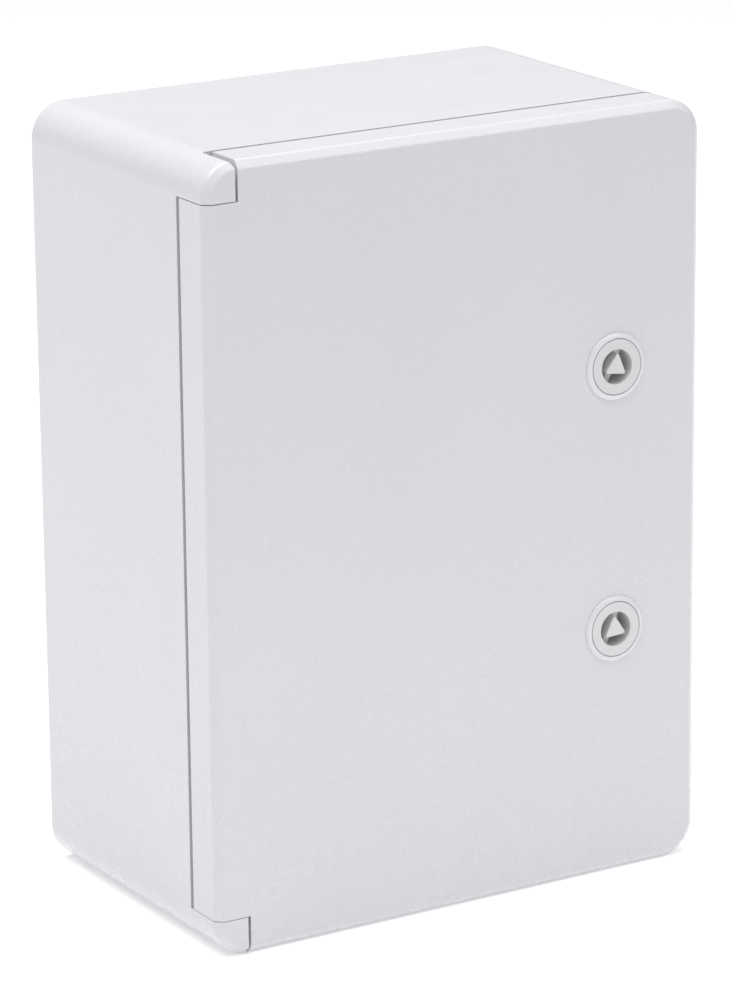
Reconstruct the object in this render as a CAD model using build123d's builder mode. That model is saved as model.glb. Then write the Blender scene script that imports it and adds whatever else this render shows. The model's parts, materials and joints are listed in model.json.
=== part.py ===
from build123d import *
import os

os.makedirs("parts", exist_ok=True)

# Wall-mounting junction box with a hinged door and two quarter-turn locks.
# Frame: X to the right, +Z up, the door faces -Y.  The origin is the centre of
# the back face, where the wall would be.  Depths are given as heights above
# the wall: Plane.XZ.offset(h) is the plane h millimetres in front of it.

# ---------------------------------------------------------------- dimensions
W, H, D = 250.0, 350.0, 152.0        # overall width, height, depth (lock bezels excluded)
R = 16.0                             # corner radius of base and door, seen from the front
WALL = 3.0                           # moulded wall thickness
PANEL = 2.8                          # thickness of the door's front panel
CH_IN, CH_DEEP = 3.6, 3.0            # front edge bevel: inset on the face, depth down the side
SOFT = 2.0                           # rounding of the bevel's two edges

H_EDGE = 128.7                       # front edge of the base's outer walls
H_DOOR = 130.8                       # rear edge of the door's walls
H_HINGE = 131.2                      # the same at the hinge side, cut back to let the door swing
H_FLOOR = 124.0                      # rain gutter floor
H_SHOULDER = 121.0                   # underside of the shoulder behind the gutter
H_LIP = 143.7                        # front end of the sealing lip
H_INNER = D - PANEL                  # inner face of the door panel

LIP_L, LIP_R, LIP_Z = -97.0, 115.0, 165.0   # outer faces of the sealing lip
LIP_T, LIP_RAD = 3.0, 11.0                  # lip thickness, outer corner radius
LIP_MID, LIP_W, LIP_H = (LIP_L + LIP_R) / 2, LIP_R - LIP_L, 2 * LIP_Z

BLOCK_X = -109.8                     # inner side of the hinge blocks
BLOCK_TOP, BLOCK_BOT = 157.95, -157.65  # inner ends of the upper and lower block
BLOCK_RAD = 3.8                      # rounding of the blocks' inner outer corner
NOTCH_X = -108.5                     # side of the door's hinge notches
NOTCH_TOP, NOTCH_BOT = 157.55, -157.35  # ends of the notches: the door hangs on the lower block
NOTCH_T = 2.5                        # walls that close the notches inside the door
H_NOTCH = 133.0                      # rear edge of those walls

PIN_X, PIN_H = -119.0, 147.6         # hinge axis: 6 mm from the side, 4.4 mm behind the face
PIN_R, PIN_RUN = 1.5, 0.05           # pin radius, radial running clearance in the blocks
PIN_END, PIN_BEND, PIN_LUG = 165.5, 132.0, -103.5   # pin end in the block, bend height, lug end
KNUCKLE_Z, KNUCKLE_X, KNUCKLE_H = 138.0, -114.0, 142.6
ROOT = 0.4                           # depth that inner features run into the door's walls

RIB_T, RIB_END = 1.5, 145.4          # ribs either side of the gasket channel, and their rear ends
CHAN = 9.0                           # width of the gasket channel
H_GASKET = 144.0                     # rear face of the gasket, 0.3 mm in front of the lip

LOCK_X, LOCK_Z = 80.0, 60.2          # lock axes at (80, +60.2) and (80, -60.2)
FLANGE_R, FLANGE_H = 15.1, 153.6     # lock bezel
FLANGE_ROLL = 2.4                    # radius of the bezel's rolled front
SLEEVE_R, SLEEVE_END = 11.0, 131.0
HOLE_R = 11.2
RECESS_R, RECESS_H = 12.84, 152.65
BORE_R = 9.55
DISC_R, DISC_H, STEM_R = 12.46, 153.55, 9.5
KEY_R, KEY_FLOOR = 7.9, 143.5
STUD_SIDE, STUD_RAD, STUD_H = 11.15, 0.85, 153.15
WEB_W, WEB_H, WEB_TURNS = 2.9, 149.05, (66.0, 246.0)   # webs between stud and pocket wall
CAM_T, CAM_HUB, CAM_ARM, CAM_W = 2.4, 11.5, 30.7, 13.0
CAM_H = 128.3                        # rear face of the cam
SQUARE = 8.6

PLATE_W, PLATE_H, PLATE_T = 180.0, 300.0, 2.0
BOSS_X, BOSS_Z, BOSS_R, BOSS_TOP = 80.0, 140.0, 6.0, 13.0
INSERT_R, INSERT_FLOOR = 3.5, 4.0
FIX_X, FIX_Z, FIX_R = 85.0, 157.0, 3.5

LOCKS = [("upper", LOCK_Z, -8.0), ("lower", -LOCK_Z, 3.5)]   # name, height, turn of its stud
INSET_X, INSET_Z = W / 2 - WALL, H / 2 - WALL                # inner faces of the outer walls


def save(builder, name):
    builder.part.label = name
    export_step(builder.part, f"parts/{name}.step")


def axis_plane(z):
    """Plane through a lock's axis: local x is the radius, local y the height above the wall."""
    return Plane(origin=(LOCK_X, 0, z), x_dir=(1, 0, 0), z_dir=(0, 0, -1))


def lock_axis(z):
    return Axis((LOCK_X, 0, z), (0, -1, 0))


# ---------------------------------------------------------------- hinge blocks
# The front profile of the whole box, kept at the two hinge corners only.
with BuildPart() as hinge_blocks:
    with BuildSketch(Plane.XZ.offset(H_FLOOR - 0.5)):
        RectangleRounded(W, H, R)
    extrude(amount=D - H_FLOOR + 0.5)
    front = hinge_blocks.faces().sort_by(Axis.Y)[0]
    chamfer(front.edges(), length=CH_IN, length2=CH_DEEP, reference=front)
    fillet(hinge_blocks.edges().filter_by_position(Axis.Y, -D - 0.01, -D + 0.01), SOFT)
    fillet(
        hinge_blocks.edges()
        .filter_by_position(Axis.Y, -D + CH_DEEP - 0.01, -D + CH_DEEP + 0.01),
        SOFT,
    )
    with BuildSketch(Plane.XZ.offset(H_FLOOR - 0.5)) as corners:
        for end, outer in ((BLOCK_TOP, H / 2), (BLOCK_BOT, -H / 2)):
            with BuildLine():
                Polyline((-W / 2 - 5, end), (BLOCK_X, end), (BLOCK_X, outer), (-W / 2 - 5, outer), close=True)
            make_face()
        fillet(
            [v for v in corners.vertices().sort_by(Axis.X)[-4:] if abs(abs(v.Y) - H / 2) < 0.01],
            BLOCK_RAD,
        )
    extrude(amount=D - H_FLOOR + 0.5, mode=Mode.INTERSECT)

# ---------------------------------------------------------------- base shell
with BuildPart() as base_shell:
    # outer tub
    with BuildSketch(Plane.XZ):
        RectangleRounded(W, H, R)
    extrude(amount=H_EDGE)
    # main cavity, with a rounded floor edge
    with BuildSketch(Plane.XZ.offset(WALL)):
        RectangleRounded(2 * INSET_X, 2 * INSET_Z, R - WALL)
    extrude(amount=H_SHOULDER - WALL, mode=Mode.SUBTRACT)
    fillet(base_shell.edges().filter_by_position(Axis.Y, -WALL - 0.01, -WALL + 0.01), 2.5)
    # rain gutter inside the outer wall
    with BuildSketch(Plane.XZ.offset(H_FLOOR)):
        RectangleRounded(2 * INSET_X, 2 * INSET_Z, R - WALL)
    extrude(amount=H_EDGE - H_FLOOR, mode=Mode.SUBTRACT)
    # sealing lip, set in from the hinge side so that the door's edge swings past it
    with BuildSketch(Plane.XZ.offset(H_FLOOR - 1)):
        with Locations((LIP_MID, 0)):
            RectangleRounded(LIP_W, LIP_H, LIP_RAD)
    extrude(amount=H_LIP - H_FLOOR + 1)
    with BuildSketch(Plane.XZ.offset(H_SHOULDER - 1)):
        with Locations((LIP_MID, 0)):
            RectangleRounded(LIP_W - 2 * LIP_T, LIP_H - 2 * LIP_T, LIP_RAD - LIP_T)
    extrude(amount=H_LIP - H_SHOULDER + 2, mode=Mode.SUBTRACT)
    fillet(base_shell.edges().filter_by_position(Axis.Y, -H_LIP - 0.01, -H_LIP + 0.01), 1.3)
    # hinge blocks
    add(hinge_blocks.part)
    for end, turn in ((BLOCK_TOP, 0), (BLOCK_BOT, 180)):
        with Locations(Location((PIN_X, -PIN_H, end), (turn, 0, 0))):
            Cylinder(
                PIN_R + PIN_RUN, PIN_END + 1.0 - abs(end),
                align=(Align.CENTER, Align.CENTER, Align.MIN), mode=Mode.SUBTRACT,
            )
    # ledges inside the lip that the cams turn behind
    for _, z, _ in LOCKS:
        with BuildSketch(Plane(origin=(0, 0, z - 10), x_dir=(1, 0, 0), z_dir=(0, 0, -1))):
            with BuildLine():
                Polyline(
                    (LIP_R - LIP_T + 1, CAM_H + CAM_T + 0.5),
                    (LIP_R - LIP_T - 6, CAM_H + CAM_T + 0.5),
                    (LIP_R - LIP_T - 6, CAM_H + CAM_T + 2.7),
                    (LIP_R - LIP_T, CAM_H + CAM_T + 10),
                    (LIP_R - LIP_T + 1, CAM_H + CAM_T + 10),
                    close=True,
                )
            make_face()
        extrude(amount=-20)
    # bosses for the mounting plate, with cross ribs
    with BuildSketch(Plane.XZ.offset(WALL - 0.5)):
        with GridLocations(2 * BOSS_X, 2 * BOSS_Z, 2, 2):
            Circle(BOSS_R)
    extrude(amount=BOSS_TOP - WALL + 0.5)
    with BuildSketch(Plane.XZ.offset(WALL - 0.5)):
        with GridLocations(2 * BOSS_X, 2 * BOSS_Z, 2, 2):
            Rectangle(26, 1.8)
            Rectangle(1.8, 26)
    extrude(amount=6.0)
    with BuildSketch(Plane.XZ.offset(INSERT_FLOOR)):
        with GridLocations(2 * BOSS_X, 2 * BOSS_Z, 2, 2):
            Circle(INSERT_R)
    extrude(amount=BOSS_TOP - INSERT_FLOOR + 1, mode=Mode.SUBTRACT)
    # wall-fixing holes through the back, each in a low ring
    with BuildSketch(Plane.XZ.offset(WALL - 0.5)):
        with GridLocations(2 * FIX_X, 2 * FIX_Z, 2, 2):
            Circle(7.5)
    extrude(amount=2.5)
    with BuildSketch(Plane.XZ.offset(-1)):
        with GridLocations(2 * FIX_X, 2 * FIX_Z, 2, 2):
            Circle(FIX_R)
    extrude(amount=8, mode=Mode.SUBTRACT)
save(base_shell, "base_shell")

# ---------------------------------------------------------------- door shell
with BuildPart() as door_shell:
    with BuildSketch(Plane.XZ.offset(H_DOOR)):
        RectangleRounded(W, H, R)
    extrude(amount=D - H_DOOR)
    front = door_shell.faces().sort_by(Axis.Y)[0]
    chamfer(front.edges(), length=CH_IN, length2=CH_DEEP, reference=front)
    fillet(door_shell.edges().filter_by_position(Axis.Y, -D - 0.01, -D + 0.01), SOFT)
    fillet(
        door_shell.edges()
        .filter_by_position(Axis.Y, -D + CH_DEEP - 0.01, -D + CH_DEEP + 0.01),
        SOFT,
    )
    # hollow of the tray
    with BuildSketch(Plane.XZ.offset(H_DOOR - 1)):
        RectangleRounded(2 * INSET_X, 2 * INSET_Z, R - WALL)
    extrude(amount=H_INNER - H_DOOR + 1, mode=Mode.SUBTRACT)
    fillet(door_shell.edges().filter_by_position(Axis.Y, -H_INNER - 0.01, -H_INNER + 0.01), 2.0)
    # hinge-side wall, cut back a little
    with BuildSketch(Plane.XZ.offset(H_DOOR - 1)):
        with Locations((-W / 2, 0)):
            Rectangle(16, H)
    extrude(amount=H_HINGE - H_DOOR + 1, mode=Mode.SUBTRACT)
    # walls that close the hinge notches inside, and the hinge knuckles
    with BuildSketch(Plane.XZ.offset(H_NOTCH)):
        for end in (NOTCH_TOP, NOTCH_BOT):
            side = 1 if end > 0 else -1
            out = side * (INSET_Z + ROOT)
            with BuildLine():
                Polyline(
                    (-INSET_X - ROOT, end - side * NOTCH_T),
                    (NOTCH_X + NOTCH_T, end - side * NOTCH_T),
                    (NOTCH_X + NOTCH_T, out),
                    (NOTCH_X - 2, out),
                    (NOTCH_X - 2, end + side),
                    (-INSET_X - ROOT, end + side),
                    close=True,
                )
            make_face()
    extrude(amount=H_INNER + ROOT - H_NOTCH)
    with BuildSketch(Plane.XZ.offset(KNUCKLE_H)):
        for end in (NOTCH_TOP, NOTCH_BOT):
            side = 1 if end > 0 else -1
            with BuildLine():
                Polyline(
                    (-INSET_X - ROOT, side * KNUCKLE_Z),
                    (KNUCKLE_X, side * KNUCKLE_Z),
                    (KNUCKLE_X, end - side),
                    (-INSET_X - ROOT, end - side),
                    close=True,
                )
            make_face()
    extrude(amount=H_INNER + ROOT - KNUCKLE_H)
    # the notches themselves
    with BuildSketch(Plane.XZ.offset(H_DOOR - 5)):
        with Locations((NOTCH_X - 20, NOTCH_TOP + 15), (NOTCH_X - 20, NOTCH_BOT - 15)):
            Rectangle(40, 30)
    extrude(amount=D - H_DOOR + 10, mode=Mode.SUBTRACT)
    # pin bores
    with Locations((PIN_X, -PIN_H, 0)):
        Cylinder(PIN_R, H + 10, mode=Mode.SUBTRACT)
    # gasket channel: a rib on each side of the bead, over the base's lip
    with BuildSketch(Plane.XZ.offset(RIB_END)):
        for grow in (CHAN / 2 + RIB_T, -CHAN / 2):
            w, h = LIP_W - LIP_T + 2 * grow, LIP_H - LIP_T + 2 * grow
            r = LIP_RAD - LIP_T / 2 + grow
            with Locations((LIP_MID, 0)):
                RectangleRounded(w, h, r)
                RectangleRounded(w - 2 * RIB_T, h - 2 * RIB_T, r - RIB_T, mode=Mode.SUBTRACT)
    extrude(amount=H_INNER - RIB_END + 0.5)
    # lock holes, countersunk in front for the housing's ring seal
    with BuildSketch(Plane.XZ.offset(H_INNER - 5)):
        with Locations((LOCK_X, LOCK_Z), (LOCK_X, -LOCK_Z)):
            Circle(HOLE_R)
    extrude(amount=12, mode=Mode.SUBTRACT)
    chamfer(
        door_shell.edges().filter_by(GeomType.CIRCLE)
        .filter_by(lambda e: abs(e.radius - HOLE_R) < 0.01 and abs(e.center().Y + D) < 0.01),
        1.4,
    )
save(door_shell, "door_shell")

# ---------------------------------------------------------------- door seal
# Foam bead in the channel; its rear face is slightly crowned.
with BuildPart() as door_gasket:
    with BuildSketch(Plane.XZ.offset(H_GASKET)):
        w, h, r = LIP_W - LIP_T + CHAN, LIP_H - LIP_T + CHAN, LIP_RAD - LIP_T / 2 + CHAN / 2
        with Locations((LIP_MID, 0)):
            RectangleRounded(w, h, r)
            RectangleRounded(w - 2 * CHAN, h - 2 * CHAN, r - CHAN, mode=Mode.SUBTRACT)
    extrude(amount=H_INNER - H_GASKET)
    fillet(door_gasket.edges().filter_by_position(Axis.Y, -H_GASKET - 0.01, -H_GASKET + 0.01), 1.4)
save(door_gasket, "door_gasket")

# ---------------------------------------------------------------- hinge pins
# Bent steel pins, pushed through the knuckles from inside the door into the blocks.
PIN_CURVE = 5.0
for name, side in (("upper", 1), ("lower", -1)):
    with BuildPart() as hinge_pin:
        with BuildLine() as route:
            FilletPolyline(
                (PIN_X, -PIN_H, side * PIN_END),
                (PIN_X, -PIN_H, side * PIN_BEND),
                (PIN_LUG, -PIN_H, side * PIN_BEND),
                radius=PIN_CURVE,
            )
        with BuildSketch(Plane(origin=(PIN_X, -PIN_H, side * PIN_END), z_dir=(0, 0, -side))):
            Circle(PIN_R)
        sweep(path=route.line)
        chamfer(hinge_pin.faces().filter_by(GeomType.PLANE).edges(), 0.4)
    save(hinge_pin, f"hinge_pin_{name}")

# ---------------------------------------------------------------- locks
# Rolled front of the bezel: an arc that leaves the front plane beside the disc.
roll_x = RECESS_R + 0.15
roll = []
for x in (FLANGE_R, (FLANGE_R + roll_x) / 2, roll_x):
    roll.append((x, FLANGE_H - FLANGE_ROLL + (FLANGE_ROLL**2 - (x - roll_x) ** 2) ** 0.5))

for name, z, turn in LOCKS:
    # housing: bezel, recess for the core's disc, sleeve
    with BuildPart() as lock_housing:
        with BuildSketch(axis_plane(z)):
            with BuildLine():
                Polyline(roll[0], (FLANGE_R, D), (SLEEVE_R, D), (SLEEVE_R, SLEEVE_END + 0.6),
                         (SLEEVE_R - 0.6, SLEEVE_END), (BORE_R, SLEEVE_END), (BORE_R, RECESS_H),
                         (RECESS_R, RECESS_H), (RECESS_R, FLANGE_H - 0.15), roll[2])
                ThreePointArc(roll[2], roll[1], roll[0])
            make_face()
        revolve(axis=lock_axis(z))
    save(lock_housing, f"lock_housing_{name}")

    # ring seal in the countersink of the door hole
    with BuildPart() as lock_seal:
        with BuildSketch(axis_plane(z)):
            with Locations((SLEEVE_R + 0.46, D - 0.46)):
                Circle(0.44)
        revolve(axis=lock_axis(z))
    save(lock_seal, f"lock_seal_{name}")

    # hexagon nut, 27 mm across flats, corners turned off
    with BuildPart() as lock_nut:
        with BuildSketch(Plane.XZ.offset(H_INNER - 5.0)):
            with Locations((LOCK_X, z)):
                RegularPolygon(13.5, 6, major_radius=False)
                Circle(SLEEVE_R, mode=Mode.SUBTRACT)
        extrude(amount=5.0)
        with BuildSketch(axis_plane(z)):
            with BuildLine():
                Polyline(
                    (0, H_INNER - 5.0), (14.0, H_INNER - 5.0), (15.7, H_INNER - 4.0),
                    (15.7, H_INNER - 0.4), (15.0, H_INNER), (0, H_INNER), close=True,
                )
            make_face()
        revolve(axis=lock_axis(z), mode=Mode.INTERSECT)
    save(lock_nut, f"lock_nut_{name}")

    # core: front disc, stem, key pocket, triangular stud between two webs
    stem_end = CAM_H + CAM_T
    with BuildPart() as lock_core:
        with BuildSketch(axis_plane(z)):
            with BuildLine():
                Polyline(
                    (0, KEY_FLOOR),
                    (KEY_R, KEY_FLOOR),
                    (KEY_R, DISC_H),
                    (DISC_R, DISC_H),
                    (DISC_R, RECESS_H + 0.15),
                    (STEM_R, RECESS_H + 0.15),
                    (STEM_R, 141.4),
                    (8.15, 141.4),
                    (8.15, 139.4),
                    (STEM_R, 139.4),
                    (STEM_R, stem_end),
                    (0, stem_end),
                    close=True,
                )
            make_face()
        revolve(axis=lock_axis(z))
        rims = lock_core.edges().filter_by(GeomType.CIRCLE)
        fillet(rims.filter_by(lambda e: abs(e.radius - DISC_R) < 0.01 and abs(e.center().Y + DISC_H) < 0.01), 0.15)
        fillet(rims.filter_by(lambda e: abs(e.radius - KEY_R) < 0.01 and e.center().Y < -DISC_H + 0.5), 0.25)
        with BuildSketch(Plane.XZ.offset(KEY_FLOOR - 0.5)):
            for web_turn in WEB_TURNS:
                with Locations(Location((LOCK_X, z), web_turn)):
                    with Locations((KEY_R / 2 + 0.2, 0)):
                        Rectangle(KEY_R + 0.4, WEB_W)
        extrude(amount=WEB_H - KEY_FLOOR + 0.5)
        with BuildSketch(Plane.XZ.offset(KEY_FLOOR - 0.5)) as stud:
            with Locations(Location((LOCK_X, z), turn + 90)):
                RegularPolygon(STUD_SIDE / 3**0.5, 3)
            fillet(stud.vertices(), STUD_RAD)
        extrude(amount=STUD_H - KEY_FLOOR + 0.5)
        fillet(lock_core.faces().filter_by(Axis.Y).filter_by(
            lambda f: abs(f.center().Y + STUD_H) < 0.01).edges(), 0.25)
        # square end for the cam, screw hole
        with BuildSketch(Plane.XZ.offset(CAM_H + 0.15)):
            with Locations((LOCK_X, z)):
                Rectangle(SQUARE, SQUARE)
        extrude(amount=CAM_T)
        with BuildSketch(Plane.XZ.offset(CAM_H - 1)):
            with Locations((LOCK_X, z)):
                Circle(2.0)
        extrude(amount=139.6 - CAM_H + 1, mode=Mode.SUBTRACT)
    save(lock_core, f"lock_core_{name}")

    with BuildPart() as core_o_ring:
        with BuildSketch(axis_plane(z)):
            with Locations((8.82, 140.4)):
                Circle(0.65)
        revolve(axis=lock_axis(z))
    save(core_o_ring, f"core_o_ring_{name}")

    # cam: hub with a square hole and an arm that points up when the lock is open
    with BuildPart() as cam:
        with BuildSketch(Plane.XZ.offset(CAM_H)) as outline:
            with Locations((LOCK_X, z)):
                Circle(CAM_HUB)
            with BuildLine():
                Polyline(
                    (LOCK_X - CAM_W / 2, z), (LOCK_X + CAM_W / 2, z),
                    (LOCK_X + CAM_W / 2, z + CAM_ARM - 3), (LOCK_X + CAM_W / 2 - 3, z + CAM_ARM),
                    (LOCK_X - CAM_W / 2 + 3, z + CAM_ARM), (LOCK_X - CAM_W / 2, z + CAM_ARM - 3),
                    close=True,
                )
            make_face()
            with Locations((LOCK_X, z)):
                Rectangle(SQUARE, SQUARE, mode=Mode.SUBTRACT)
        extrude(amount=CAM_T)
        fillet(
            cam.edges().filter_by(Axis.Y).filter_by(lambda e: e.center().Z > z + CAM_HUB + 2)
            , 1.5,
        )
        chamfer(cam.edges().filter_by_position(Axis.Y, -CAM_H - 0.01, -CAM_H + 0.01)
                .filter_by(lambda e: max((v.center() - Vector(LOCK_X, -CAM_H, z)).length for v in e.vertices()) > SQUARE), 0.3)
    save(cam, f"cam_{name}")

    with BuildPart() as cam_washer:
        with BuildSketch(Plane.XZ.offset(CAM_H - 0.9)):
            with Locations((LOCK_X, z)):
                Circle(7.0)
                Circle(2.15, mode=Mode.SUBTRACT)
        extrude(amount=0.9)
        chamfer(
            cam_washer.edges().filter_by(GeomType.CIRCLE).filter_by(
                lambda e: abs(e.radius - 7.0) < 0.01 and e.center().Y > -CAM_H + 0.5
            ),
            0.25,
        )
    save(cam_washer, f"cam_washer_{name}")

    with BuildPart() as cam_screw:
        head = CAM_H - 0.9
        with BuildSketch(axis_plane(z)):
            with BuildLine():
                Polyline((0, 138.8), (1.3, 138.8), (1.95, 138.0), (1.95, head), (4.0, head), (4.0, head - 1.6))
                ThreePointArc((4.0, head - 1.6), (2.2, head - 2.6), (0, head - 2.8))
                Line((0, head - 2.8), (0, 138.8))
            make_face()
        revolve(axis=lock_axis(z))
        with BuildSketch(Plane.XZ.offset(head - 4.0)):
            with Locations((LOCK_X, z)):
                Rectangle(4.4, 1.0)
                Rectangle(1.0, 4.4)
        extrude(amount=2.6, mode=Mode.SUBTRACT)
    save(cam_screw, f"cam_screw_{name}")

# ---------------------------------------------------------------- mounting plate
with BuildPart() as mounting_plate:
    with BuildSketch(Plane.XZ.offset(BOSS_TOP)):
        RectangleRounded(PLATE_W, PLATE_H, 4.0)
        with GridLocations(2 * BOSS_X, 2 * BOSS_Z, 2, 2):
            Circle(2.75, mode=Mode.SUBTRACT)
    extrude(amount=PLATE_T)
    chamfer(
        mounting_plate.edges().filter_by_position(Axis.Y, -BOSS_TOP - PLATE_T - 0.01, -BOSS_TOP - PLATE_T + 0.01),
        0.25,
    )
save(mounting_plate, "mounting_plate")

with BuildPart() as plate_inserts:
    with BuildSketch(Plane.XZ.offset(INSERT_FLOOR)):
        with GridLocations(2 * BOSS_X, 2 * BOSS_Z, 2, 2):
            Circle(INSERT_R)
            Circle(2.5, mode=Mode.SUBTRACT)
    extrude(amount=BOSS_TOP - INSERT_FLOOR)
    # waist between the two knurled bands
    with BuildSketch(Plane.XZ.offset(INSERT_FLOOR + 3.5)):
        with GridLocations(2 * BOSS_X, 2 * BOSS_Z, 2, 2):
            Circle(INSERT_R + 1)
            Circle(INSERT_R - 0.4, mode=Mode.SUBTRACT)
    extrude(amount=2.0, mode=Mode.SUBTRACT)
save(plate_inserts, "plate_inserts")

SEAT = BOSS_TOP + PLATE_T
with BuildPart() as plate_washers:
    with BuildSketch(Plane.XZ.offset(SEAT)):
        with GridLocations(2 * BOSS_X, 2 * BOSS_Z, 2, 2):
            Circle(5.0)
            Circle(2.65, mode=Mode.SUBTRACT)
    extrude(amount=1.0)
    chamfer(plate_washers.edges().filter_by(GeomType.CIRCLE).filter_by(
        lambda e: abs(e.radius - 5.0) < 0.01 and abs(e.center().Y + SEAT + 1.0) < 0.01), 0.2)
save(plate_washers, "plate_washers")

with BuildPart() as plate_screws:
    with Locations(*[(x, 0, z) for x in (-BOSS_X, BOSS_X) for z in (-BOSS_Z, BOSS_Z)]):
        with Locations(Location((0, -SEAT - 1.0, 0), (90, 0, 0))):
            Cylinder(4.6, 3.2, align=(Align.CENTER, Align.CENTER, Align.MIN))
        with Locations(Location((0, -SEAT - 1.0, 0), (-90, 0, 0))):
            Cylinder(2.45, SEAT + 1.0 - 5.5, align=(Align.CENTER, Align.CENTER, Align.MIN))
    fillet(plate_screws.edges().filter_by_position(Axis.Y, -SEAT - 4.21, -SEAT - 4.19), 1.4)
    with BuildSketch(Plane.XZ.offset(SEAT + 2.4)):
        with GridLocations(2 * BOSS_X, 2 * BOSS_Z, 2, 2):
            Rectangle(5.0, 1.1)
            Rectangle(1.1, 5.0)
    extrude(amount=4.0, mode=Mode.SUBTRACT)
save(plate_screws, "plate_screws")
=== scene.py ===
import json
import math
import random

import bmesh
import bpy
from mathutils import Euler, Matrix, Vector


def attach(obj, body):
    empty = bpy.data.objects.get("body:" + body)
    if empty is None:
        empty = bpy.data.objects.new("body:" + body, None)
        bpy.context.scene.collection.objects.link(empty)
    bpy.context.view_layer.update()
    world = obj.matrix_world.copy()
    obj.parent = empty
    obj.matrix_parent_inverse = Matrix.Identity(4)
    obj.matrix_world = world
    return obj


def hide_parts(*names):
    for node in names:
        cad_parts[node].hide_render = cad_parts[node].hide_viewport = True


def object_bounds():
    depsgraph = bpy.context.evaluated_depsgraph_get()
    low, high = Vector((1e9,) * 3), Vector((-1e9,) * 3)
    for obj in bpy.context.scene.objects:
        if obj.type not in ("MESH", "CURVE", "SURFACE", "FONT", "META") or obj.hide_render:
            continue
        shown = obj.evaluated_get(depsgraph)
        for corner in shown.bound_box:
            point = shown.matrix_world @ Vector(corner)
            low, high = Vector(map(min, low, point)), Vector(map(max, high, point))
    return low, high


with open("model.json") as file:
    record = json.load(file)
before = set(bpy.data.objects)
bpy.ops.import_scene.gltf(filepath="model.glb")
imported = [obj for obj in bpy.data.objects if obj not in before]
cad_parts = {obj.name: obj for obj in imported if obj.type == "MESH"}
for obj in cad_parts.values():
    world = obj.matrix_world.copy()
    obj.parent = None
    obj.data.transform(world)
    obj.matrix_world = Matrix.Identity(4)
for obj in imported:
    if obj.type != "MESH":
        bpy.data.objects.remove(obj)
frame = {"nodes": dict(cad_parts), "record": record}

random.seed(7)
nodes = frame["nodes"]
cad_lo, cad_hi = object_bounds()
scene = bpy.context.scene

# ------------------------------------------------------------------ camera
# Seen from the front left and a little above, from about two metres, with a long lens.
cam_data = bpy.data.cameras.new("camera")
cam_data.sensor_width = 36.0
cam_data.sensor_fit = "AUTO"
cam_data.lens = 173.92
cam_data.clip_start = 0.05
cam_data.clip_end = 60.0
cam = bpy.data.objects.new("camera", cam_data)
cam.location = (-1.076222, -1.843786, 0.598602)
cam.rotation_euler = Euler((1.286331, 0.009964, -0.54867), "XYZ")
scene.collection.objects.link(cam)
scene.camera = cam


# ------------------------------------------------------------------ node helpers
class Mat:
    """A Principled material and short ways to add the nodes that drive it."""

    def __init__(self, name):
        self.m = bpy.data.materials.new(name)
        self.m.use_nodes = True
        self.t = self.m.node_tree
        self.bsdf = self.t.nodes["Principled BSDF"]
        self.coord = self.t.nodes.new("ShaderNodeTexCoord")

    def set(self, **values):
        for key, value in values.items():
            self.bsdf.inputs[key.replace("_", " ")].default_value = value

    def link(self, a, b):
        self.t.links.new(a, b)

    def mapped(self, scale=(1, 1, 1), rotation=(0, 0, 0)):
        n = self.t.nodes.new("ShaderNodeMapping")
        n.inputs["Scale"].default_value = scale
        n.inputs["Rotation"].default_value = rotation
        self.link(self.coord.outputs["Object"], n.inputs["Vector"])
        return n.outputs["Vector"]

    def noise(self, scale, detail=2.0, rough=0.5, vector=None, distortion=0.0):
        n = self.t.nodes.new("ShaderNodeTexNoise")
        n.inputs["Scale"].default_value = scale
        n.inputs["Detail"].default_value = detail
        n.inputs["Roughness"].default_value = rough
        n.inputs["Distortion"].default_value = distortion
        self.link(vector or self.coord.outputs["Object"], n.inputs["Vector"])
        return n.outputs["Fac"]

    def cells(self, scale, feature="F1", vector=None, output="Distance"):
        n = self.t.nodes.new("ShaderNodeTexVoronoi")
        n.feature = feature
        n.inputs["Scale"].default_value = scale
        self.link(vector or self.coord.outputs["Object"], n.inputs["Vector"])
        return n.outputs[output]

    def ranged(self, value, lo, hi, new_lo, new_hi):
        n = self.t.nodes.new("ShaderNodeMapRange")
        n.inputs["From Min"].default_value = lo
        n.inputs["From Max"].default_value = hi
        n.inputs["To Min"].default_value = new_lo
        n.inputs["To Max"].default_value = new_hi
        self.link(value, n.inputs["Value"])
        return n.outputs["Result"]

    def math(self, op, a, b):
        n = self.t.nodes.new("ShaderNodeMath")
        n.operation = op
        for i, v in enumerate((a, b)):
            if isinstance(v, (int, float)):
                n.inputs[i].default_value = v
            else:
                self.link(v, n.inputs[i])
        return n.outputs[0]

    def blend(self, factor, a, b):
        n = self.t.nodes.new("ShaderNodeMix")
        n.data_type = "RGBA"
        n.inputs["A"].default_value = (*a, 1)
        n.inputs["B"].default_value = (*b, 1)
        self.link(factor, n.inputs["Factor"])
        return n.outputs["Result"]

    def bump(self, height, distance, strength=1.0, normal=None):
        n = self.t.nodes.new("ShaderNodeBump")
        n.inputs["Distance"].default_value = distance
        n.inputs["Strength"].default_value = strength
        self.link(height, n.inputs["Height"])
        if normal is not None:
            self.link(normal, n.inputs["Normal"])
        return n.outputs["Normal"]

    def drive(self, **sockets):
        for key, value in sockets.items():
            self.link(value, self.bsdf.inputs[key.replace("_", " ")])


def shade(base, amount):
    return tuple(c * (1 + amount) for c in base)


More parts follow.
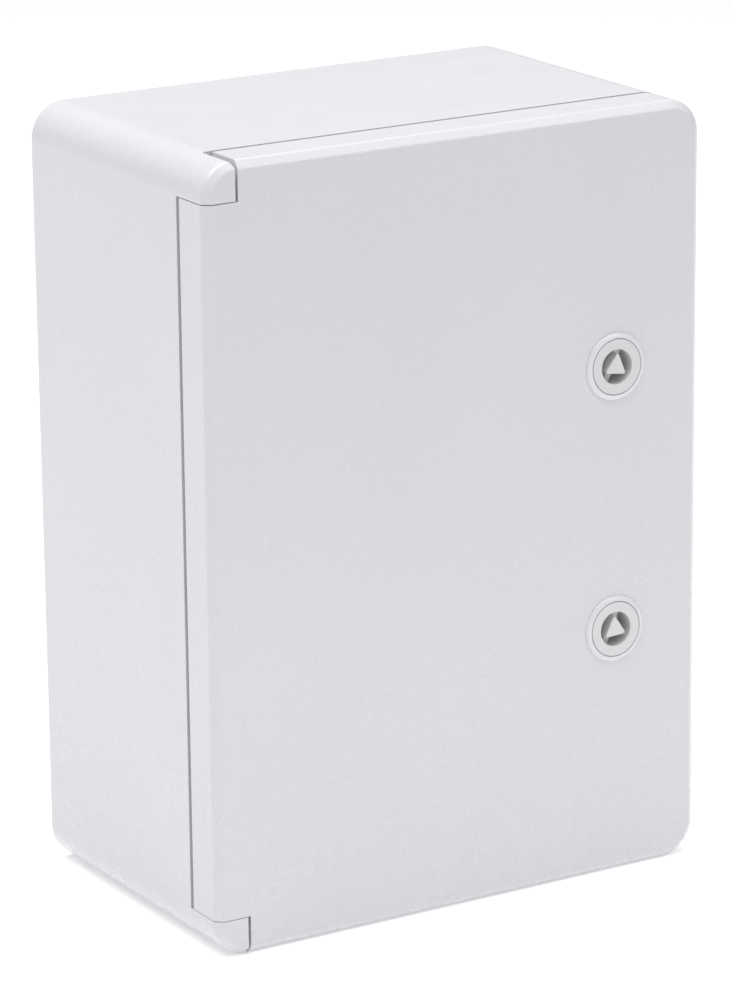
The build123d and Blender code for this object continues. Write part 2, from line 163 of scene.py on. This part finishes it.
def moulded_plastic(name, base, rough, peel=0.00004, grain=0.000006, mottle=0.012):
    """Smooth injection-moulded plastic: faint flow mottling, orange peel and a very fine grain."""
    k = Mat(name)
    broad = k.noise(9.0, detail=3.0, rough=0.55, distortion=0.4)
    fine = k.noise(2600.0, detail=1.0)
    tone = k.math("ADD", k.math("MULTIPLY", broad, 0.8), k.math("MULTIPLY", fine, 0.2))
    k.drive(Base_Color=k.blend(k.ranged(tone, 0.3, 0.7, 0, 1), shade(base, -mottle), shade(base, mottle)))
    k.drive(Roughness=k.ranged(k.noise(45.0, detail=4.0, rough=0.6), 0.3, 0.7, rough - 0.03, rough + 0.03))
    n = k.bump(k.noise(260.0, detail=2.0, rough=0.4), peel)
    n = k.bump(k.noise(3200.0, detail=2.0), grain, normal=n)
    k.drive(Normal=n)
    k.set(IOR=1.5, Specular_IOR_Level=0.5)
    return k.m


def rubber(name, base, rough):
    k = Mat(name)
    speck = k.noise(1800.0, detail=4.0, rough=0.7)
    k.drive(Base_Color=k.blend(k.ranged(speck, 0.35, 0.7, 0, 1), shade(base, -0.15), shade(base, 0.35)))
    k.drive(Roughness=k.ranged(k.noise(300.0, detail=3.0), 0.3, 0.7, rough - 0.06, rough + 0.06))
    k.drive(Normal=k.bump(speck, 0.00003))
    k.set(Specular_IOR_Level=0.35)
    return k.m


def foam(name, base):
    """Skinned polyurethane bead: small closed cells showing through a matt skin."""
    k = Mat(name)
    cell = k.cells(1300.0)
    big = k.cells(420.0)
    dust = k.noise(120.0, detail=3.0)
    k.drive(Base_Color=k.blend(k.ranged(k.math("ADD", cell, k.math("MULTIPLY", dust, 0.5)), 0.2, 1.0, 0, 1),
                               shade(base, 0.3), shade(base, -0.25)))
    k.drive(Roughness=k.ranged(dust, 0.3, 0.7, 0.72, 0.88))
    n = k.bump(cell, 0.00008)
    n = k.bump(big, 0.00010, normal=n)
    k.drive(Normal=n)
    k.set(Specular_IOR_Level=0.3)
    return k.m


def metal(name, base, rough, stretch=(1, 1, 1), scale=400.0, contrast=0.06, bump=0.000004, tint=None):
    """Plated or drawn metal, with fine marks along the unstretched direction."""
    k = Mat(name)
    marks = k.noise(scale, detail=5.0, rough=0.65, vector=k.mapped(scale=stretch))
    broad = k.noise(35.0, detail=3.0)
    k.drive(Base_Color=k.blend(k.ranged(k.math("ADD", marks, broad), 0.7, 1.3, 0, 1),
                               shade(base, -contrast), shade(tint or base, contrast)))
    k.drive(Roughness=k.ranged(marks, 0.3, 0.7, rough - 0.07, rough + 0.09))
    k.drive(Normal=k.bump(marks, bump))
    k.set(Metallic=1.0)
    return k.m


def galvanised(name, base):
    """Hot-dip sheet: soft-edged spangle of differently toned zinc crystals."""
    k = Mat(name)
    warp = k.noise(60.0, detail=3.0)
    vec = k.t.nodes.new("ShaderNodeVectorMath")
    vec.operation = "ADD"
    jitter = k.t.nodes.new("ShaderNodeTexNoise")
    jitter.inputs["Scale"].default_value = 90.0
    k.link(k.coord.outputs["Object"], jitter.inputs["Vector"])
    scaled = k.t.nodes.new("ShaderNodeVectorMath")
    scaled.operation = "SCALE"
    scaled.inputs["Scale"].default_value = 0.012
    k.link(jitter.outputs["Color"], scaled.inputs[0])
    k.link(k.coord.outputs["Object"], vec.inputs[0])
    k.link(scaled.outputs[0], vec.inputs[1])
    spangle = k.cells(150.0, vector=vec.outputs[0], output="Color")
    sep = k.t.nodes.new("ShaderNodeSeparateColor")
    k.link(spangle, sep.inputs[0])
    streak = k.noise(900.0, detail=4.0, rough=0.7, vector=k.mapped(scale=(0.08, 1, 1)))
    tone = k.math("ADD", k.math("MULTIPLY", sep.outputs[0], 0.6), k.math("MULTIPLY", streak, 0.4))
    k.drive(Base_Color=k.blend(tone, shade(base, -0.08), shade(base, 0.07)))
    k.drive(Roughness=k.ranged(k.math("ADD", sep.outputs[1], warp), 0.2, 1.6, 0.30, 0.52))
    k.drive(Normal=k.bump(streak, 0.000005))
    k.set(Metallic=1.0)
    return k.m


GREY = (0.663, 0.662, 0.694)
materials = {
    "abs_shell": moulded_plastic("moulded_abs", GREY, 0.27, peel=0.00002),
    "lock_plastic": moulded_plastic("lock_plastic", (0.655, 0.655, 0.668), 0.24, peel=0.000006, mottle=0.008),
    "nut_plastic": moulded_plastic("nylon_nut", (0.030, 0.030, 0.033), 0.55, peel=0.00002, grain=0.00002, mottle=0.2),
    "foam_seal": foam("foam_seal", (0.055, 0.055, 0.058)),
    "rubber_seal": rubber("seal_rubber", (0.022, 0.022, 0.024), 0.55),
    "steel_pin": metal("drawn_steel", (0.56, 0.57, 0.58), 0.28, stretch=(1, 1, 0.04)),
    "galvanised_sheet": galvanised("galvanised_sheet", (0.56, 0.58, 0.60)),
    "zinc_cam": metal("zinc_stamping", (0.62, 0.62, 0.60), 0.34, stretch=(1, 1, 0.15), scale=700.0),
    "zinc_screw": metal("zinc_plating", (0.64, 0.65, 0.67), 0.26, scale=900.0, tint=(0.66, 0.66, 0.60)),
    "brass": metal("turned_brass", (0.74, 0.55, 0.25), 0.27, stretch=(0.1, 1, 0.1), scale=900.0),
}
slot_of = {s["node"]: s["material_slot"] for s in frame["record"]["subparts"]}
for name, ob in nodes.items():
    mat = materials[slot_of[name]]
    if ob.material_slots:
        for s in ob.material_slots:
            s.link = "OBJECT"
            s.material = mat
    else:
        ob.data.materials.append(mat)

# ------------------------------------------------------------------ pieces made here
MM = 0.001


def finish_mesh(bm, name, body, node, slot, sharp_angle=None):
    """Turn a bmesh in millimetres into a piece that stands for a CAD node."""
    bmesh.ops.recalc_face_normals(bm, faces=bm.faces)
    for f in bm.faces:
        f.smooth = True
    if sharp_angle is not None:
        for e in bm.edges:
            if len(e.link_faces) == 2 and e.calc_face_angle(0.0) > sharp_angle:
                e.smooth = False
    bmesh.ops.scale(bm, vec=(MM, MM, MM), verts=bm.verts)
    mesh = bpy.data.meshes.new(name)
    bm.to_mesh(mesh)
    bm.free()
    mesh.materials.append(materials[slot])
    ob = bpy.data.objects.new(name, mesh)
    scene.collection.objects.link(ob)
    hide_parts(node)
    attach(ob, body)
    return ob


# Lock housings: rolled bezel, recess for the turning disc, and a sleeve with a real helical thread.
def housing_profile():
    """(radius, height above the wall) of the ring section, front rim first, clockwise."""
    pts = [(12.84, 153.36), (12.86, 153.46), (12.91, 153.55), (12.99, 153.60)]
    for i in range(1, 15):
        a = math.radians(90.0 - (90.0 - 28.46) * i / 14)
        pts.append((12.99 + 2.4 * math.cos(a), 151.2 + 2.4 * math.sin(a)))
    pts += [(15.10, 152.04), (15.06, 152.0), (11.0, 152.0), (11.0, 149.3)]
    h = 149.0
    while h > 131.7:
        pts.append((11.0, h))
        h -= 0.15
    pts += [(10.86, 131.45), (10.4, 131.0), (9.6, 131.0), (9.55, 131.05), (9.55, 152.6), (9.6, 152.65), (12.84, 152.65)]
    return pts


def thread_depth(h, turn):
    if h > 149.1 or h < 131.6:
        return 0.0
    phase = (h / 1.5 + turn) % 1.0
    flank = 1.0 - abs(2.0 * phase - 1.0)
    cut = 1.0 - min(1.0, max(0.0, flank * 1.35 - 0.1))
    return 0.52 * cut * min(1.0, (149.1 - h) / 1.2)


# a lighter copy of the lock plastic for the bezel: painted highlight standing in for the light caught by the rolled
# ring
bezel_plastic_painted_highlight = moulded_plastic("bezel_plastic_painted_highlight", (0.715, 0.713, 0.748), 0.20, peel=0.000006, mottle=0.008)


def lock_housing(name, z):
    steps = 168
    pts = housing_profile()
    bm = bmesh.new()
    rings = []
    for r, h in pts:
        ring = []
        for j in range(steps):
            a = 2 * math.pi * j / steps
            rr = r - thread_depth(h, j / steps) if abs(r - 11.0) < 1e-6 else r
            ring.append(bm.verts.new((80.0 + rr * math.cos(a), -h, z + rr * math.sin(a))))
        rings.append(ring)
    for i, ring in enumerate(rings):
        nxt = rings[(i + 1) % len(rings)]
        for j in range(steps):
            k2 = (j + 1) % steps
            bm.faces.new((ring[j], ring[k2], nxt[k2], nxt[j]))
    ob = finish_mesh(bm, f"lock_bezel_{name}", "door", f"lock_housing_{name}", "lock_plastic", math.radians(52))
    # the bezel gets the lighter copy of the lock plastic, a painted highlight in place of its own slot material
    ob.data.materials[0] = bezel_plastic_painted_highlight
    return ob


for lock, lock_z in (("upper", 60.2), ("lower", -60.2)):
    lock_housing(lock, lock_z)


# Foamed door seal: a poured bead with a domed section, a faint dent where the lip presses,
# a little wander, and the lap where the pour ends.
def rounded_path(half_w, half_h, rad, mid_x, step=3.0):
    """Points and outward directions round a rectangle with rounded corners."""
    out = []
    corners = [(1, 1, 0), (-1, 1, 90), (-1, -1, 180), (1, -1, 270)]
    for i, (sx, sz, start) in enumerate(corners):
        cx, cz = sx * (half_w - rad), sz * (half_h - rad)
        for k2 in range(13):
            a = math.radians(start + 90 * k2 / 12)
            out.append((mid_x + cx + rad * math.cos(a), cz + rad * math.sin(a), math.cos(a), math.sin(a)))
        nx, nz, _ = corners[(i + 1) % 4]
        a = math.radians(start + 90)
        x0, z0 = cx + rad * math.cos(a), cz + rad * math.sin(a)
        x1, z1 = nx * (half_w - rad) + rad * math.cos(a), nz * (half_h - rad) + rad * math.sin(a)
        n = max(2, int(math.hypot(x1 - x0, z1 - z0) / step))
        for k2 in range(1, n):
            t = k2 / n
            out.append((mid_x + x0 + (x1 - x0) * t, z0 + (z1 - z0) * t, math.cos(a), math.sin(a)))
    return out


def door_seal():
    path = rounded_path(104.5, 163.5, 9.5, 9.0)
    rng = random.Random(11)
    waves = [(rng.uniform(0.05, 0.16), rng.uniform(0, 6.28), k2) for k2 in (5, 9, 14, 23, 37, 61)]
    bm = bmesh.new()
    rings = []
    total = len(path)
    for i, (x, z, nx, nz) in enumerate(path):
        t = i / total
        wob = sum(a * math.sin(2 * math.pi * k2 * t + p) for a, p, k2 in waves)
        lap = math.exp(-(((t - 0.62 + 0.5) % 1.0 - 0.5) / 0.006) ** 2)
        ring = []
        for q in range(25):
            s = -1.0 + 2.0 * q / 24
            dome = max(0.0, 1.0 - abs(s) ** 2.6) ** (1 / 2.1)
            high = (4.72 + 0.10 * wob + 0.32 * lap) * dome - 0.55 * math.exp(-((s * 4.4 / 1.35) ** 2)) * (1 - lap)
            side = s * (4.28 + 0.06 * wob + 0.1 * lap)
            ring.append(bm.verts.new((x + nx * side, -(149.2 - high), z + nz * side)))
        rings.append(ring)
    for i in range(total):
        a, b = rings[i], rings[(i + 1) % total]
        for q in range(24):
            bm.faces.new((a[q], a[q + 1], b[q + 1], b[q]))
        bm.faces.new((a[24], a[0], b[0], b[24]))
    seal = finish_mesh(bm, "foamed_door_seal", "door", "door_gasket", "foam_seal", math.radians(60))
    return seal


door_seal()

# ------------------------------------------------------------------ floor and light
floor_z = cad_lo[2]
me = bpy.data.meshes.new("floor")
bm = bmesh.new()
bmesh.ops.create_grid(bm, x_segments=1, y_segments=1, size=30.0)
bm.to_mesh(me)
bm.free()
floor = bpy.data.objects.new("floor", me)
floor.location = (0, 0, floor_z)
scene.collection.objects.link(floor)
k = Mat("pale_floor")
# painted light: the floor's colour falls off to pale grey and its painted glow weakens towards the front right, out of
# the frame, standing in for the sweep being lit round the box and less lit there
across = k.t.nodes.new("ShaderNodeVectorMath")
across.operation = "DOT_PRODUCT"
k.link(k.coord.outputs["Object"], across.inputs[0])
across.inputs[1].default_value = (0.853, -0.523, 0.0)
apart = k.t.nodes.new("ShaderNodeSeparateXYZ")
k.link(k.coord.outputs["Object"], apart.inputs[0])
# mask of the painted shade and the weaker painted glow towards the front right
painted_falloff = k.math("MULTIPLY", k.ranged(across.outputs["Value"], 0.50, 0.92, 0, 1), k.ranged(apart.outputs["Y"], -0.10, -0.60, 0, 1))
k.drive(Base_Color=k.blend(painted_falloff, (0.91, 0.91, 0.91), (0.60, 0.60, 0.60)),
        Emission_Strength=k.ranged(painted_falloff, 0, 1, 0.31, 0.10))
k.set(Roughness=0.9, Specular_IOR_Level=0.1, Emission_Color=(1, 1, 1, 1))
me.materials.append(k.m)

world = bpy.data.worlds.new("studio")
scene.world = world
world.use_nodes = True
world.node_tree.nodes["Background"].inputs["Color"].default_value = (1.0, 1.0, 1.0, 1)
world.node_tree.nodes["Background"].inputs["Strength"].default_value = 0.378


def softbox(name, place, target, size, power, colour=(1, 1, 1)):
    data = bpy.data.lights.new(name, "AREA")
    data.shape = "RECTANGLE"
    data.size, data.size_y = size
    data.energy = power
    data.color = colour
    ob = bpy.data.objects.new(name, data)
    ob.location = place
    ob.rotation_euler = (Vector(target) - Vector(place)).to_track_quat("-Z", "Y").to_euler()
    scene.collection.objects.link(ob)
    return ob


softbox("top_light", (-0.3, 0.0, 2.2), (0, -0.07, 0), (2.6, 2.6), 66.8)
softbox("front_right_light", (0.75, -1.05, 1.0), (0, -0.1, 0.1), (0.9, 0.9), 4.35)

scene.view_settings.view_transform = "Standard"
scene.view_settings.look = "None"
